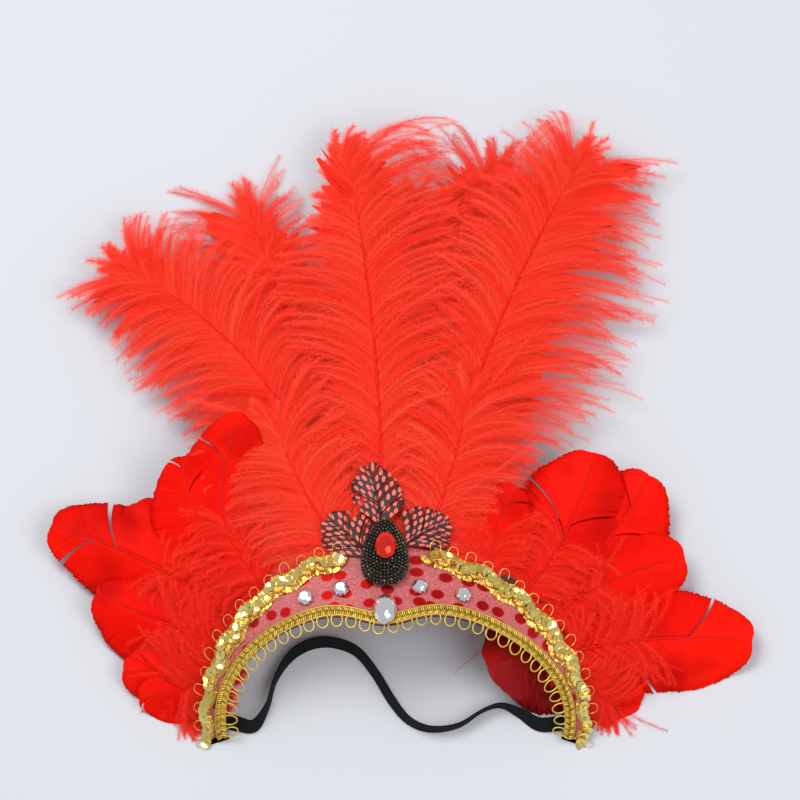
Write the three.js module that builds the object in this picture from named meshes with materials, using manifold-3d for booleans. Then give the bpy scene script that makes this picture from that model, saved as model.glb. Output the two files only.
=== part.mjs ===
// Feather headband: a crescent band with gold braid and stones, and ostrich plumes and goose feathers behind it.
// Millimetres, +Z up. It lies on its back, with +Y from the band's ends to the plume tips.
import * as THREE from "three";
import { mergeVertices } from "three/addons/utils/BufferGeometryUtils.js";
import Module from "manifold-3d";

const wasm = await Module();
wasm.setup();

// Driving dimensions

// The band's lower edge is half an ellipse in plan, lifted at the forehead and down at both ends.
const ARCH = { halfSpan: 91, rise: 50, foreheadHeight: 52, endHeight: 7, skew: -5, endAngle: 100 };
// The surface behind the band falls away from the lower edge: all of it with distance, the arms by a bank angle.
const FALL = { length: 200, bankDegrees: 12, bankReach: 22 };
// Band widths at the forehead and at the ends, and the point of the lower edge over the nose.
const BAND = { midWidth: 35, endWidth: 12, pointDepth: 10, pointSpread: 13 };
// Walls and their stacking, measured out from the surface behind the band.
const WALL = { backingFrom: 0.15, backing: 1, face: 1.75, gap: 0.3 };
const FACE_TOP = WALL.backingFrom + WALL.backing + WALL.gap + WALL.face;
const TRIM_FROM = FACE_TOP + WALL.gap;
const GIMP = { inner: -0.5, outer: 5.5, thickness: 1.4, endAngle: 97 };
const LOOP = { count: 36, outerRadius: 3.3, wire: 0.9, overlap: 1.4, faces: 5, endAngle: 95 };
const LOOP_TURN = { fromDegrees: 120, toDegrees: 420 };
const BRAID = { width: 10, overhang: 1, thickness: 1.8, startAngle: 15, endAngle: 97 };
const BRAID_WAVE = { height: 1.2, length: 20 };
const FEATHER = { pitch: 2.1, ridgeHalf: 0.9, midHalf: 0.75, edgeHalf: 0.6 };
const QUILL = { rootHalfWidth: 1.1, tipHalfWidth: 0.7 };
const STRAP = { width: 10, thickness: 1, steps: 42, floorGap: 0.2, endLift: 0.9, endShare: 0.1 };
const MEDALLION = { x: -5.5, y: 80, width: 26, length: 39, depth: 2.6, bevel: 1.2 };
const RED_STONE = { x: -5, y: 82, width: 12, length: 16, height: 5 };
const OVAL_STONE = { x: -5.2, y: 47, width: 13, length: 18, height: 5.5 };
const ROUND_STONE = { diameter: 8.5, height: 3.6, across: 12.5 };
const ROUND_SIDES = 10;
const OVAL_SIDES = 12;
const ROUND_STONE_ANGLES = {
  stone_left_outer: -26,
  stone_left_inner: -14,
  stone_right_inner: 10.5,
  stone_right_outer: 24,
};

// How each kind of feather is outlined: where the vane starts and is full, where the tip rounds off,
// how far the barbs sweep forward, how deep the locks are cut, and the faces along and across it.
const KIND = {
  ostrich: { vaneFrom: 0.04, fullAt: 0.36, tipFrom: 0.7, sweep: 0.42, notch: 0.26, rows: 18, columns: 4 },
  goose: { vaneFrom: 0.02, fullAt: 0.5, tipFrom: 0.66, sweep: 0.25, notch: 0, rows: 8, columns: 4 },
  down: { vaneFrom: 0.02, fullAt: 0.35, tipFrom: 0.6, sweep: 0.4, notch: 0.3, rows: 10, columns: 4 },
  guinea: { vaneFrom: 0.05, fullAt: 0.5, tipFrom: 0.65, sweep: 0.35, notch: 0, rows: 6, columns: 4 },
};

// Feathers: root and tip in plan, sideways bow, half widths on the left and right of the quill,
// layer counted back from the band (-1 is in front of it), and how far the tip lifts or, negative, droops.
const FEATHER_COLUMNS = [
  "name", "kind", "rootX", "rootY", "tipX", "tipY", "bow", "leftWidth", "rightWidth", "layer", "lift",
];
const FEATHERS = [
  ["plume_front_left", "ostrich", -20, 70, -66, 158, 3, 44, 36, 0, 4],
  ["plume_front_right", "ostrich", 8, 70, 40, 178, -4, 30, 36, 1, 3],
  ["plume_centre", "ostrich", -8, 66, -30, 330, -8, 48, 46, 2, 10],
  ["plume_left", "ostrich", -28, 66, -168, 262, -34, 48, 36, 3, 4],
  ["plume_right", "ostrich", 14, 66, 115, 334, 14, 40, 64, 3, 8],
  ["plume_back_left", "ostrich", -18, 64, -86, 303, -4, 38, 24, 4, -12],
  ["plume_back_centre", "ostrich", -2, 64, 12, 304, 4, 24, 34, 5, 0],
  ["plume_back_right", "ostrich", 6, 64, 60, 330, 8, 34, 34, 6, -12],
  ["goose_left_top", "goose", -64, 62, -82, 160, 20, 19, 21, 1, 0],
  ["goose_left_side", "goose", -68, 56, -116, 138, 9, 21, 21, 2, 0],
  ["goose_left_long", "goose", -78, 44, -187, 106, -7, 21, 21, 3, 3],
  ["goose_left_upper", "goose", -80, 46, -142, 118, 5, 19, 19, 4, 0],
  ["goose_left_mid", "goose", -84, 40, -162, 68, 4, 18, 18, 2, 3],
  ["goose_left_low", "goose", -88, 36, -147, 26, 4, 14, 14, 1, 2],
  ["goose_left_bottom", "goose", -90, 26, -138, 12, 3, 12, 12, 0, 2],
  ["down_left", "down", -84, 32, -114, 4, 2, 11, 17, 2, 0],
  ["goose_right_inner", "goose", 54, 64, 66, 122, 6, 18, 16, 0, 1],
  ["goose_right_top", "goose", 64, 56, 108, 142, -6, 27, 27, 1, 8],
  ["goose_right_side", "goose", 74, 44, 157, 87, 6, 20, 20, 2, 2],
  ["goose_right_upper", "goose", 70, 50, 138, 132, -6, 23, 23, 3, 4],
  ["goose_right_mid", "goose", 78, 40, 152, 64, 4, 17, 17, 4, 0],
  ["goose_right_long", "goose", 84, 30, 193, 42, 6, 21, 21, 1, 6],
  ["goose_right_bottom", "goose", 88, 20, 133, 10, 4, 13, 13, 2, 0],
  ["down_right", "down", 84, 30, 118, 8, -2, 17, 11, 0, 0],
  ["goose_right_under", "goose", 100, 62, 44, 24, 4, 22, 22, 5, 0],
  ["guinea_left", "guinea", -13, 76, -30, 97, -2, 7, 7, -1, 1],
  ["guinea_top", "guinea", -8, 92, -15, 130, -2, 6, 6, -1, 2],
  ["guinea_right", "guinea", 3, 84, 27, 98, 2, 6, 6, -1, 1],
];

// The elastic's way over the surface, left end to right end: plan position, and its roll up on its edge.
const STRAP_ROUTE = [
  { x: -93, y: 0, roll: 41 },
  { x: -85, y: -2, roll: 40 },
  { x: -76, y: -3, roll: 48 },
  { x: -69, y: 8, roll: 66 },
  { x: -65, y: 22, roll: 66 },
  { x: -57, y: 35, roll: 52 },
  { x: -46, y: 42, roll: 46 },
  { x: -34, y: 43, roll: 46 },
  { x: -21, y: 38, roll: 48 },
  { x: -11, y: 26, roll: 48 },
  { x: -2, y: 11, roll: 48 },
  { x: 7, y: 0, roll: 55 },
  { x: 19, y: -5, roll: 62 },
  { x: 34, y: -3, roll: 68 },
  { x: 47, y: 5, roll: 74 },
  { x: 57, y: 8, roll: 70 },
  { x: 67, y: 4, roll: 56 },
  { x: 77, y: -2, roll: 42 },
  { x: 86, y: -2, roll: 40 },
  { x: 93, y: 0, roll: 41 },
];

// Colours and finishes
const finish = (color, roughness, metalness = 0) => new THREE.MeshStandardMaterial({ color, roughness, metalness });
const FINISH = {
  ostrich: finish(0xe8251a, 0.75),
  goose: finish(0xdc1410, 0.55),
  down: finish(0xe0241c, 0.85),
  guinea: finish(0x3a1512, 0.7),
  glitterFabric: finish(0xb8434a, 0.5),
  blackFelt: finish(0x141214, 0.95),
  goldBraid: finish(0xc79a2a, 0.35, 0.8),
  clearStone: finish(0xd8dce0, 0.08),
  redStone: finish(0xd81c08, 0.08),
  darkBeads: finish(0x2a2416, 0.35, 0.5),
  elastic: finish(0x101012, 0.9),
};

// The surface behind the band

const radians = THREE.MathUtils.degToRad;

// A plan position as the angle round the arch and the distance outside its lower edge.
function archPosition(x, y) {
  const across = x / ARCH.halfSpan;
  const up = y / ARCH.rise;
  const angle = Math.atan2(across, up);
  const edgeDistance = Math.hypot(ARCH.halfSpan * Math.sin(angle), ARCH.rise * Math.cos(angle));
  return { angle, outside: (Math.hypot(across, up) - 1) * edgeDistance };
}

function surfaceHeight(x, y) {
  const { angle, outside } = archPosition(x, y);
  const edgeHeight = ARCH.endHeight + (ARCH.foreheadHeight - ARCH.endHeight) * Math.cos(angle);
  const bank = Math.tan(radians(FALL.bankDegrees)) * Math.sin(angle) ** 2;
  const banked = FALL.bankReach * (1 - Math.exp(-outside / FALL.bankReach));
  return edgeHeight / (1 + outside / FALL.length) - bank * banked;
}

function surfaceNormal(x, y) {
  const step = 0.5;
  const slopeX = (surfaceHeight(x + step, y) - surfaceHeight(x - step, y)) / (2 * step);
  const slopeY = (surfaceHeight(x, y + step) - surfaceHeight(x, y - step)) / (2 * step);
  return new THREE.Vector3(-slopeX, -slopeY, 1).normalize();
}

function offSurface(x, y, offset) {
  return new THREE.Vector3(x, y, surfaceHeight(x, y)).addScaledVector(surfaceNormal(x, y), offset);
}

// A point of the band: angle round the arch in degrees, millimetres across from the smooth lower edge, offset.
function onBand(degrees, across, offset) {
  const angle = radians(degrees);
  const outward = new THREE.Vector2(Math.sin(angle) / ARCH.halfSpan, Math.cos(angle) / ARCH.rise).normalize();
  const x = ARCH.halfSpan * Math.sin(angle) + ARCH.skew * Math.max(0, Math.cos(angle)) ** 2 + outward.x * across;
  const y = ARCH.rise * Math.cos(angle) + outward.y * across;
  return offSurface(x, y, offset);
}

const bandWidth = (degrees) =>
  BAND.endWidth + (BAND.midWidth - BAND.endWidth) * Math.max(0, Math.cos(radians(degrees))) ** 2;
const lowerEdge = (degrees) => -BAND.pointDepth * Math.exp(-((degrees / BAND.pointSpread) ** 2));

// Geometry helpers

// A box whose faces are bent: place(along, across, up) takes 0 to 1 three times and gives a point.
function bentBox(alongFaces, acrossFaces, place) {
  const box = new THREE.BoxGeometry(1, 1, 1, alongFaces, acrossFaces, 1);
  return bent(box, (p) => place(p.x + 0.5, p.y + 0.5, p.z + 0.5));
}

function bent(geometry, place) {
  const position = geometry.getAttribute("position");
  const point = new THREE.Vector3();
  for (let i = 0; i < position.count; i++) {
    const moved = place(point.fromBufferAttribute(position, i));
    position.setXYZ(i, moved.x, moved.y, moved.z);
  }
  return closed(geometry);
}

function closed(geometry) {
  geometry.deleteAttribute("normal");
  geometry.deleteAttribute("uv");
  return mergeVertices(geometry, 1e-3);
}

function solidOf(geometry) {
  const merged = closed(geometry);
  const vertProperties = merged.getAttribute("position").array;
  const triVerts = new Uint32Array(merged.index.array);
  return new wasm.Manifold(new wasm.Mesh({ numProp: 3, vertProperties, triVerts }));
}

function geometryOf(solid) {
  const { vertProperties, triVerts } = solid.getMesh();
  return new THREE.BufferGeometry()
    .setAttribute("position", new THREE.BufferAttribute(vertProperties, 3))
    .setIndex(new THREE.BufferAttribute(triVerts, 1));
}

const headband = new THREE.Group();

function addPiece(name, geometry, material, parent = headband) {
  const mesh = new THREE.Mesh(geometry, material);
  mesh.name = name;
  parent.add(mesh);
  return mesh;
}

// Band

// The crescent between two offsets from the surface, with its ends cut flat where they stand.
function crescent(from, to, alongFaces, acrossFaces) {
  const wall = bentBox(alongFaces, acrossFaces, (along, across, up) => {
    const degrees = THREE.MathUtils.lerp(-ARCH.endAngle, ARCH.endAngle, along);
    const edge = lowerEdge(degrees);
    const out = THREE.MathUtils.lerp(edge, bandWidth(degrees), across);
    return onBand(degrees, out, THREE.MathUtils.lerp(from, to, up));
  });
  const groundDepth = 40;
  const groundSize = 4 * ARCH.halfSpan;
  const ground = new THREE.BoxGeometry(groundSize, groundSize, groundDepth).translate(0, 0, -groundDepth / 2);
  return geometryOf(solidOf(wall).subtract(solidOf(ground)));
}

const bandFaces = { along: 44, across: 2 };
const faceFrom = FACE_TOP - WALL.face;
addPiece(
  "band_backing",
  crescent(WALL.backingFrom, WALL.backingFrom + WALL.backing, bandFaces.along, bandFaces.across),
  FINISH.blackFelt,
);
addPiece("band_face", crescent(faceFrom, FACE_TOP, bandFaces.along, bandFaces.across), FINISH.glitterFabric);

// Gold trims

// The sequin braid of one side: a strip whose two edges wave together along the band's upper edge.
function sequinBraid(side) {
  const faces = { along: 30, across: 1 };
  return bentBox(faces.along, faces.across, (along, across, up) => {
    const start = side < 0 ? -BRAID.endAngle : BRAID.startAngle;
    const end = side < 0 ? -BRAID.startAngle : BRAID.endAngle;
    const degrees = THREE.MathUtils.lerp(start, end, along);
    const outer = bandWidth(degrees) + BRAID.overhang;
    const inner = Math.max(outer - BRAID.overhang - BRAID.width, GIMP.outer + WALL.gap + BRAID_WAVE.height);
    const turn = (2 * Math.PI * radians(degrees) * ARCH.halfSpan) / BRAID_WAVE.length;
    const shift = BRAID_WAVE.height * Math.sin(turn);
    const out = THREE.MathUtils.lerp(inner, outer, across) + shift;
    return onBand(degrees, out, TRIM_FROM + up * BRAID.thickness);
  });
}
addPiece("sequin_braid_left", sequinBraid(-1), FINISH.goldBraid);
addPiece("sequin_braid_right", sequinBraid(1), FINISH.goldBraid);

// The gimp along the lower edge, with a row of open loops standing out from it.
function loopBraid() {
  const faces = { along: 40, across: 1 };
  const tape = bentBox(faces.along, faces.across, (along, across, up) => {
    const degrees = THREE.MathUtils.lerp(-GIMP.endAngle, GIMP.endAngle, along);
    const out = lowerEdge(degrees) + THREE.MathUtils.lerp(GIMP.inner, GIMP.outer, across);
    return onBand(degrees, out, TRIM_FROM + up * GIMP.thickness);
  });
  const centreAcross = GIMP.inner + LOOP.overlap - LOOP.outerRadius;
  const rise = (GIMP.thickness - LOOP.wire) / 2;
  let solid = solidOf(tape);
  for (let i = 0; i < LOOP.count; i++) {
    const degrees = angleAlongEdge(i / (LOOP.count - 1), LOOP.endAngle);
    const middle = onBand(degrees, lowerEdge(degrees), TRIM_FROM);
    const next = onBand(degrees + 1, lowerEdge(degrees + 1), TRIM_FROM);
    const degreesPerMillimetre = 1 / middle.distanceTo(next);
    const loop = bentBox(LOOP.faces, 1, (along, across, up) => {
      const turn = radians(THREE.MathUtils.lerp(LOOP_TURN.fromDegrees, LOOP_TURN.toDegrees, along));
      const radius = LOOP.outerRadius - across * LOOP.wire;
      const at = degrees + radius * Math.cos(turn) * degreesPerMillimetre;
      const out = lowerEdge(degrees) + centreAcross + radius * Math.sin(turn);
      return onBand(at, out, TRIM_FROM + rise + up * LOOP.wire);
    });
    solid = solid.add(solidOf(loop));
  }
  return geometryOf(solid);
}

// The angle at a share of the lower edge's length between two equal end angles.
function angleAlongEdge(share, endAngle) {
  const samples = 200;
  const angleOf = (i) => THREE.MathUtils.lerp(-endAngle, endAngle, i / samples);
  const angles = Array.from({ length: samples + 1 }, (_, i) => angleOf(i));
  const points = angles.map((degrees) => onBand(degrees, lowerEdge(degrees), TRIM_FROM));
  const lengths = [0];
  for (let i = 1; i <= samples; i++) lengths.push(lengths[i - 1] + points[i].distanceTo(points[i - 1]));
  const wanted = share * lengths[samples];
  const next = Math.max(1, lengths.findIndex((length) => length >= wanted - 1e-6));
  const part = (wanted - lengths[next - 1]) / (lengths[next] - lengths[next - 1]);
  return THREE.MathUtils.lerp(angles[next - 1], angles[next], part);
}
addPiece("loop_braid", loopBraid(), FINISH.goldBraid);

// Stones and medallion

// A group that stands on the surface at a plan position, its own +Z along the surface's normal.
function seat(x, y, offset) {
  const group = new THREE.Group();
  group.position.copy(offSurface(x, y, offset));
  group.quaternion.setFromUnitVectors(new THREE.Vector3(0, 0, 1), surfaceNormal(x, y));
  headband.add(group);
  return group;
}

// A flat-backed cut stone: girdle, a slanting crown of facets and a table.
function cutStone(width, length, height, sides) {
  const girdle = 0.22 * height;
  const profile = [
    new THREE.Vector2(0, 0),
    new THREE.Vector2(0.5, 0),
    new THREE.Vector2(0.5, girdle),
    new THREE.Vector2(0.4, 0.68 * height),
    new THREE.Vector2(0.24, height),
    new THREE.Vector2(0, height),
  ];
  return closed(new THREE.LatheGeometry(profile, sides).rotateX(Math.PI / 2).scale(width, length, 1));
}

for (const [name, degrees] of Object.entries(ROUND_STONE_ANGLES)) {
  const place = onBand(degrees, ROUND_STONE.across, 0);
  const stone = cutStone(ROUND_STONE.diameter, ROUND_STONE.diameter, ROUND_STONE.height, ROUND_SIDES);
  addPiece(name, stone, FINISH.clearStone, seat(place.x, place.y, TRIM_FROM));
}

const ovalSeat = seat(OVAL_STONE.x, OVAL_STONE.y, TRIM_FROM + GIMP.thickness + WALL.gap);
const ovalStone = cutStone(OVAL_STONE.width, OVAL_STONE.length, OVAL_STONE.height, OVAL_SIDES);
addPiece("stone_oval", ovalStone, FINISH.clearStone, ovalSeat);

// The medallion is a drop: round below, drawn in to a blunt point above.
function dropShape(width, length, inset) {
  const half = width / 2 - inset;
  const foot = -length / 2 + inset;
  const top = length / 2 - inset;
  const shape = new THREE.Shape();
  shape.moveTo(0, foot);
  shape.bezierCurveTo(0.75 * half, foot, half, foot + 0.5 * half, half, foot + 1.1 * half);
  shape.bezierCurveTo(half, foot + 1.9 * half, 0.5 * half, top, 0, top);
  shape.bezierCurveTo(-0.5 * half, top, -half, foot + 1.9 * half, -half, foot + 1.1 * half);
  shape.bezierCurveTo(-half, foot + 0.5 * half, -0.75 * half, foot, 0, foot);
  return shape;
}

const guineaThickness = 2 * FEATHER.ridgeHalf;
const medallionFrom = FACE_TOP + WALL.gap + guineaThickness + WALL.gap;
const medallionOutline = dropShape(MEDALLION.width, MEDALLION.length, MEDALLION.bevel);
const medallionBody = new THREE.ExtrudeGeometry(medallionOutline, {
  depth: MEDALLION.depth,
  bevelThickness: MEDALLION.bevel,
  bevelSize: MEDALLION.bevel,
  bevelSegments: 1,
  curveSegments: 6,
}).translate(0, 0, MEDALLION.bevel);
const medallionSeat = seat(MEDALLION.x, MEDALLION.y, medallionFrom);
addPiece("medallion", closed(medallionBody), FINISH.darkBeads, medallionSeat);
const medallionTop = medallionFrom + MEDALLION.depth + 2 * MEDALLION.bevel;
const redSeat = seat(RED_STONE.x, RED_STONE.y, medallionTop + WALL.gap);
redSeat.quaternion.copy(medallionSeat.quaternion);
const redStone = cutStone(RED_STONE.width, RED_STONE.length, RED_STONE.height, OVAL_SIDES);
addPiece("stone_red", redStone, FINISH.redStone, redSeat);

// Feathers

// Half width of a vane at a share of its length: a bare quill, a swelling and a rounded tip.
function vaneProfile(kind, share) {
  const swelling = THREE.MathUtils.smoothstep(share, kind.vaneFrom, kind.fullAt);
  const past = Math.max(0, (share - kind.tipFrom) / (1 - kind.tipFrom));
  return swelling * Math.sqrt(Math.max(0, 1 - past * past));
}

function featherGeometry(feather) {
  const kind = KIND[feather.kind];
  const root = new THREE.Vector2(feather.rootX, feather.rootY);
  const tip = new THREE.Vector2(feather.tipX, feather.tipY);
  const chord = tip.clone().sub(root);
  const left = new THREE.Vector2(-chord.y, chord.x).normalize();
  const bend = root.clone().add(tip).multiplyScalar(0.5).addScaledVector(left, 2 * feather.bow);
  const quill = new THREE.QuadraticBezierCurve(root, bend, tip);
  return bentBox(kind.rows, kind.columns, (along, across, up) => {
    const side = 2 * across - 1;
    const row = Math.round(along * kind.rows);
    const fullWidth = side > 0 ? feather.leftWidth : feather.rightWidth;
    const lock = row % 2 === 1 ? 1 - kind.notch : 1;
    const narrowest = along < 0.5 ? QUILL.rootHalfWidth : QUILL.tipHalfWidth;
    const halfWidth = Math.max(narrowest, fullWidth * vaneProfile(kind, along) * lock);
    const tangent = quill.getTangent(along);
    const point = quill.getPoint(along);
    point.addScaledVector(new THREE.Vector2(-tangent.y, tangent.x), side * halfWidth);
    point.addScaledVector(tangent, kind.sweep * Math.abs(side) * (halfWidth - narrowest));
    const halfThickness = [FEATHER.ridgeHalf, FEATHER.midHalf, FEATHER.edgeHalf][Math.round(2 * Math.abs(side))];
    const layerDrop = (feather.layer + 0.5) * FEATHER.pitch;
    const inFront = FACE_TOP + WALL.gap + FEATHER.ridgeHalf;
    const depth = feather.layer < 0 ? inFront : -layerDrop;
    const height = surfaceHeight(point.x, point.y) + depth + feather.lift * along ** 3;
    const middle = Math.max(height, FEATHER.ridgeHalf);
    return new THREE.Vector3(point.x, point.y, middle + (2 * up - 1) * halfThickness);
  });
}

for (const row of FEATHERS) {
  const feather = Object.fromEntries(FEATHER_COLUMNS.map((column, i) => [column, row[i]]));
  addPiece(feather.name, featherGeometry(feather), FINISH[feather.kind]);
}

// Elastic strap

// A flat elastic from the back of one end to the back of the other, in loose curves on the surface between them.
function elasticStrap() {
  const points = STRAP_ROUTE.map(({ x, y }) => new THREE.Vector3(x, y, 0));
  const line = new THREE.CatmullRomCurve3(points, false, "centripetal");
  const last = STRAP_ROUTE.length - 1;
  return bentBox(STRAP.steps, 1, (along, across, up) => {
    const point = line.getPoint(along);
    const tangent = line.getTangent(along);
    const before = Math.min(last - 1, Math.floor(along * last));
    const rollBefore = STRAP_ROUTE[before].roll;
    const rollAfter = STRAP_ROUTE[before + 1].roll;
    const roll = radians(THREE.MathUtils.lerp(rollBefore, rollAfter, along * last - before));
    const sideways = new THREE.Vector3(-tangent.y, tangent.x, 0).multiplyScalar(Math.cos(roll));
    const acrossWay = sideways.setZ(Math.sin(roll));
    const upWay = new THREE.Vector3().crossVectors(tangent, acrossWay);
    const lowestCorner = (STRAP.width * Math.sin(roll) + STRAP.thickness * Math.cos(roll)) / 2;
    const fromEnd = Math.min(along, 1 - along) / STRAP.endShare;
    const endLift = STRAP.endLift * Math.max(0, 1 - fromEnd);
    return point
      .setZ(STRAP.floorGap + endLift + lowestCorner)
      .addScaledVector(acrossWay, (across - 0.5) * STRAP.width)
      .addScaledVector(upWay, (up - 0.5) * STRAP.thickness);
  });
}
const strap = addPiece("elastic_strap", elasticStrap(), FINISH.elastic);

// The origin: on the surface, under the middle of the headband without its strap.
headband.remove(strap);
const box = new THREE.Box3().setFromObject(headband, true);
headband.add(strap);
headband.position.set(-(box.min.x + box.max.x) / 2, -(box.min.y + box.max.y) / 2, -box.min.z);
const part = new THREE.Group();
part.add(headband);

export default part;
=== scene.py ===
import bpy
import bmesh
import math
import numpy as np
from mathutils import Vector, Matrix


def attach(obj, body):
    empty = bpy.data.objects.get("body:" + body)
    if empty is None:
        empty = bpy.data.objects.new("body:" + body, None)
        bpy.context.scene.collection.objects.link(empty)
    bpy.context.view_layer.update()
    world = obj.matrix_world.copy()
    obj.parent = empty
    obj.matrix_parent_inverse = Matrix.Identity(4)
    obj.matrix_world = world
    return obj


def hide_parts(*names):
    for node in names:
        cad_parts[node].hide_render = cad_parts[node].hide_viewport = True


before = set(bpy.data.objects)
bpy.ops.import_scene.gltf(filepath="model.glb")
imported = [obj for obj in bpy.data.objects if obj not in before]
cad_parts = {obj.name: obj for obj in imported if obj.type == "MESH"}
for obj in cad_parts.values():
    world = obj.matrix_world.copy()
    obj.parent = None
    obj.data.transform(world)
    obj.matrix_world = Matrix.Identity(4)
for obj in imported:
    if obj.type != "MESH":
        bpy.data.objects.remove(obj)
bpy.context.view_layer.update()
scene = bpy.context.scene
scene.view_settings.view_transform = "Standard"

# Camera: nearly from above, tipped a little towards the band
cameraForm = {"aim": (-0.0004, 0.0203, 0.0), "elevation": 73.5, "distance": 2.4, "lens": 195.5}
cameraData = bpy.data.cameras.new("camera")
cameraData.lens = cameraForm["lens"]
cameraData.sensor_width = 36.0
camera = bpy.data.objects.new("camera", cameraData)
scene.collection.objects.link(camera)
tilt = math.radians(cameraForm["elevation"])
towardsCamera = Vector((0, -math.cos(tilt), math.sin(tilt)))
camera.location = Vector(cameraForm["aim"]) + towardsCamera * cameraForm["distance"]
camera.rotation_euler = (math.pi / 2 - tilt, 0, 0)
scene.camera = camera
print("camera placed")

# The surface behind the band, in millimetres from the middle of the arch, as in the CAD
frameShift = np.array((-2.934, -161.267, 0.0))
arch = {"halfSpan": 91.0, "rise": 50.0, "foreheadHeight": 52.0, "endHeight": 7.0, "skew": -5.0}
fall = {"length": 200.0, "bankDegrees": 12.0, "bankReach": 22.0}
band = {"midWidth": 35.0, "endWidth": 12.0, "pointDepth": 10.0, "pointSpread": 13.0}
faceTop = 3.2  # front of the cloth, measured from the surface
trimFrom = 3.5  # foot of the trims and stones


def toFrame(points):
    return (np.asarray(points) + frameShift) * 0.001


def unit(vectors):
    return vectors / np.maximum(np.linalg.norm(vectors, axis=-1, keepdims=True), 1e-9)


def surfaceHeight(x, y):
    across, up = x / arch["halfSpan"], y / arch["rise"]
    angle = np.arctan2(across, up)
    edge = np.hypot(arch["halfSpan"] * np.sin(angle), arch["rise"] * np.cos(angle))
    outside = (np.hypot(across, up) - 1) * edge
    edgeHeight = arch["endHeight"] + (arch["foreheadHeight"] - arch["endHeight"]) * np.cos(angle)
    bank = math.tan(math.radians(fall["bankDegrees"])) * np.sin(angle) ** 2
    banked = fall["bankReach"] * (1 - np.exp(-outside / fall["bankReach"]))
    return edgeHeight / (1 + outside / fall["length"]) - bank * banked


def surfaceNormal(x, y):
    slopeX = surfaceHeight(x + 0.5, y) - surfaceHeight(x - 0.5, y)
    slopeY = surfaceHeight(x, y + 0.5) - surfaceHeight(x, y - 0.5)
    return unit(np.stack((-slopeX, -slopeY, np.ones_like(slopeX)), -1))


def offSurface(x, y, offset):
    base = np.stack((x, y, surfaceHeight(x, y)), -1)
    return base + surfaceNormal(x, y) * np.asarray(offset)[..., None]


# A place on the band: degrees round the arch from its middle, millimetres outwards from its lower edge
def bandPlan(degrees, across):
    angle = np.radians(degrees)
    outward = unit(np.stack((np.sin(angle) / arch["halfSpan"], np.cos(angle) / arch["rise"]), -1))
    skewed = arch["skew"] * np.maximum(0, np.cos(angle)) ** 2
    x = arch["halfSpan"] * np.sin(angle) + skewed + outward[..., 0] * across
    y = arch["rise"] * np.cos(angle) + outward[..., 1] * across
    return x, y


def onBand(degrees, across, offset):
    degrees, across, offset = np.broadcast_arrays(np.asarray(degrees, float), across, offset)
    x, y = bandPlan(degrees, across)
    return offSurface(x, y, offset)


def bandWidth(degrees):
    taper = np.maximum(0, np.cos(np.radians(degrees))) ** 2
    return band["endWidth"] + (band["midWidth"] - band["endWidth"]) * taper


def lowerEdge(degrees):
    return -band["pointDepth"] * np.exp(-((degrees / band["pointSpread"]) ** 2))


def lengthsAlong(line):
    return np.concatenate(([0], np.cumsum(np.linalg.norm(np.diff(line, axis=0), axis=1))))


# Angles at equal steps of length along a line of the band, and the line's length
def evenAngles(start, end, acrossOf, step):
    fine = np.linspace(start, end, 800)
    lengths = lengthsAlong(onBand(fine, acrossOf(fine), trimFrom))
    count = max(2, int(round(lengths[-1] / step)) + 1)
    return np.interp(np.linspace(0, lengths[-1], count), lengths, fine), lengths[-1]


# Joined meshes from arrays: points in millimetres, faces as arrays of corners, one value for each point
def meshFromArrays(name, points, faces, values, planar):
    mesh = bpy.data.meshes.new(name)
    sizes = np.concatenate([np.full(len(part), part.shape[1]) for part in faces])
    corners = np.concatenate([part.ravel() for part in faces]).astype(np.int32)
    mesh.vertices.add(len(points))
    mesh.vertices.foreach_set("co", toFrame(points).astype(np.float32).ravel())
    mesh.loops.add(len(corners))
    mesh.loops.foreach_set("vertex_index", corners)
    mesh.polygons.add(len(sizes))
    mesh.polygons.foreach_set("loop_start", (np.cumsum(sizes) - sizes).astype(np.int32))
    mesh.update(calc_edges=True)
    tone = mesh.attributes.new("tone", "FLOAT", "POINT")
    tone.data.foreach_set("value", values.astype(np.float32))
    layer = mesh.uv_layers.new(name="lay")
    layer.data.foreach_set("uv", planar[corners].astype(np.float32).ravel())
    mesh.validate()
    return mesh


def meshFromShape(name, shape):
    mesh = bpy.data.meshes.new(name)
    shape.to_mesh(mesh)
    shape.free()
    return mesh


def addPiece(mesh, material, node, smooth=False):
    piece = bpy.data.objects.new(mesh.name, mesh)
    scene.collection.objects.link(piece)
    mesh.materials.append(material)
    if smooth:
        mesh.shade_smooth()
    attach(piece, "root")
    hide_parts(node)
    return piece


# Loose strands stay off the floor, and the topmost wisps bend over
strandForm = {"floorGap": 0.15, "tallest": 336.0, "bend": 10.0}


class Pile:
    def __init__(self):
        self.points, self.values, self.planar = [], [], []
        self.triangles, self.quads = [], []
        self.count = 0

    def add(self, points, triangles=None, quads=None, values=0.5, planar=None):
        points = np.asarray(points).reshape(-1, 3)
        self.points.append(points)
        self.values.append(np.broadcast_to(values, (len(points),)))
        self.planar.append(np.zeros((len(points), 2)) if planar is None else planar.reshape(-1, 2))
        if triangles is not None:
            self.triangles.append(triangles.reshape(-1, 3) + self.count)
        if quads is not None:
            self.quads.append(quads.reshape(-1, 4) + self.count)
        self.count += len(points)

    def mesh(self, name):
        faces = [np.concatenate(part) for part in (self.triangles, self.quads) if part]
        points, values = np.concatenate(self.points), np.concatenate(self.values)
        points[:, 2] = np.maximum(points[:, 2], strandForm["floorGap"])
        over = np.maximum(points[:, 1] - strandForm["tallest"], 0)
        points[:, 1] += strandForm["bend"] * np.tanh(over / strandForm["bend"]) - over
        return meshFromArrays(name, points, faces, values, np.concatenate(self.planar))


# Faces between neighbouring points of a grid, and round tubes from one ring of points to the next
def gridQuads(index):
    return np.stack((index[:-1, :-1], index[:-1, 1:], index[1:, 1:], index[1:, :-1]), -1)


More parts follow.
